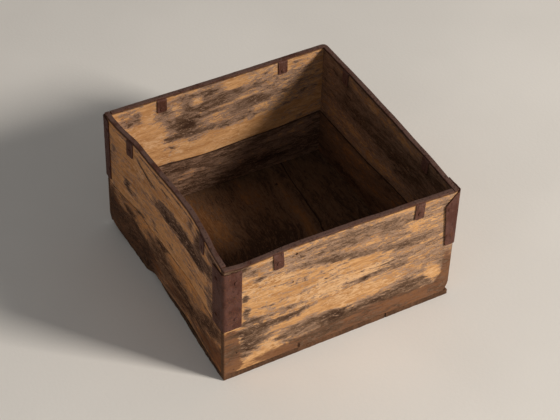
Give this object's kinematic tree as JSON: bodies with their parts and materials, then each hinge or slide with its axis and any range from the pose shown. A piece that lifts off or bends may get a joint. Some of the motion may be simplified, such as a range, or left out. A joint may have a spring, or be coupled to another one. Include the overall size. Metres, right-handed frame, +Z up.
{
  "type": "grain measure",
  "caption": "Open square wooden box for measuring grain, with stacked board walls on a plank floor, flat iron bars and saddles on the rim and nailed iron angles at the corners.",
  "frame": {"origin": "on the ground under the middle of the measure", "axes": "+Z up, front wall towards -Y, left wall towards -X"},
  "size_m": [0.3384, 0.3384, 0.1915],
  "materials": {
    "weathered_wood": "old pine boards, worn and stained, dull",
    "floor_wood": "darkened pine planks, dull",
    "rim_iron": "wrought flat bar, rusted brown, rubbed grey along the top",
    "angle_iron": "wrought sheet strip, rusted red-brown with grey patches",
    "nail_iron": "forged nail and rivet heads, rusted, rubbed on top"
  },
  "bodies": {
    "root": {"angle_nail_back_left_back_high": "nail_iron", "angle_nail_back_left_back_low": "nail_iron", "angle_nail_back_left_left_high": "nail_iron", "angle_nail_back_left_left_low": "nail_iron", "angle_nail_back_right_back_high": "nail_iron", "angle_nail_back_right_back_low": "nail_iron", "angle_nail_back_right_right_high": "nail_iron", "angle_nail_back_right_right_low": "nail_iron", "angle_nail_front_left_front_high": "nail_iron", "angle_nail_front_left_front_low": "nail_iron", "angle_nail_front_left_left_high": "nail_iron", "angle_nail_front_left_left_low": "nail_iron", "angle_nail_front_right_front_high": "nail_iron", "angle_nail_front_right_front_low": "nail_iron", "angle_nail_front_right_right_high": "nail_iron", "angle_nail_front_right_right_low": "nail_iron", "back_lower_board": "weathered_wood", "back_upper_board": "weathered_wood", "corner_angle_back_left": "angle_iron", "corner_angle_back_right": "angle_iron", "corner_angle_front_left": "angle_iron", "corner_angle_front_right": "angle_iron", "corner_nail_back_left": "nail_iron", "corner_nail_back_right": "nail_iron", "corner_nail_front_left": "nail_iron", "corner_nail_front_right": "nail_iron", "floor_nail_back_1": "nail_iron", "floor_nail_back_2": "nail_iron", "floor_nail_back_3": "nail_iron", "floor_nail_front_1": "nail_iron", "floor_nail_front_2": "nail_iron", "floor_nail_front_3": "nail_iron", "floor_plank_left": "floor_wood", "floor_plank_right": "floor_wood", "front_lower_board": "weathered_wood", "front_upper_board": "weathered_wood", "left_lower_board": "weathered_wood", "left_upper_board": "weathered_wood", "right_lower_board": "weathered_wood", "right_upper_board": "weathered_wood", "rim_bar_back": "rim_iron", "rim_bar_front": "rim_iron", "rim_bar_left": "rim_iron", "rim_bar_right": "rim_iron", "rim_saddle_back_end": "rim_iron", "rim_saddle_back_start": "rim_iron", "rim_saddle_front_end": "rim_iron", "rim_saddle_front_start": "rim_iron", "rim_saddle_left_end": "rim_iron", "rim_saddle_left_start": "rim_iron", "rim_saddle_right_end": "rim_iron", "rim_saddle_right_start": "rim_iron", "saddle_rivet_back_end": "nail_iron", "saddle_rivet_back_start": "nail_iron", "saddle_rivet_front_end": "nail_iron", "saddle_rivet_front_start": "nail_iron", "saddle_rivet_left_end": "nail_iron", "saddle_rivet_left_start": "nail_iron", "saddle_rivet_right_end": "nail_iron", "saddle_rivet_right_start": "nail_iron"}
  },
  "joints": []
}
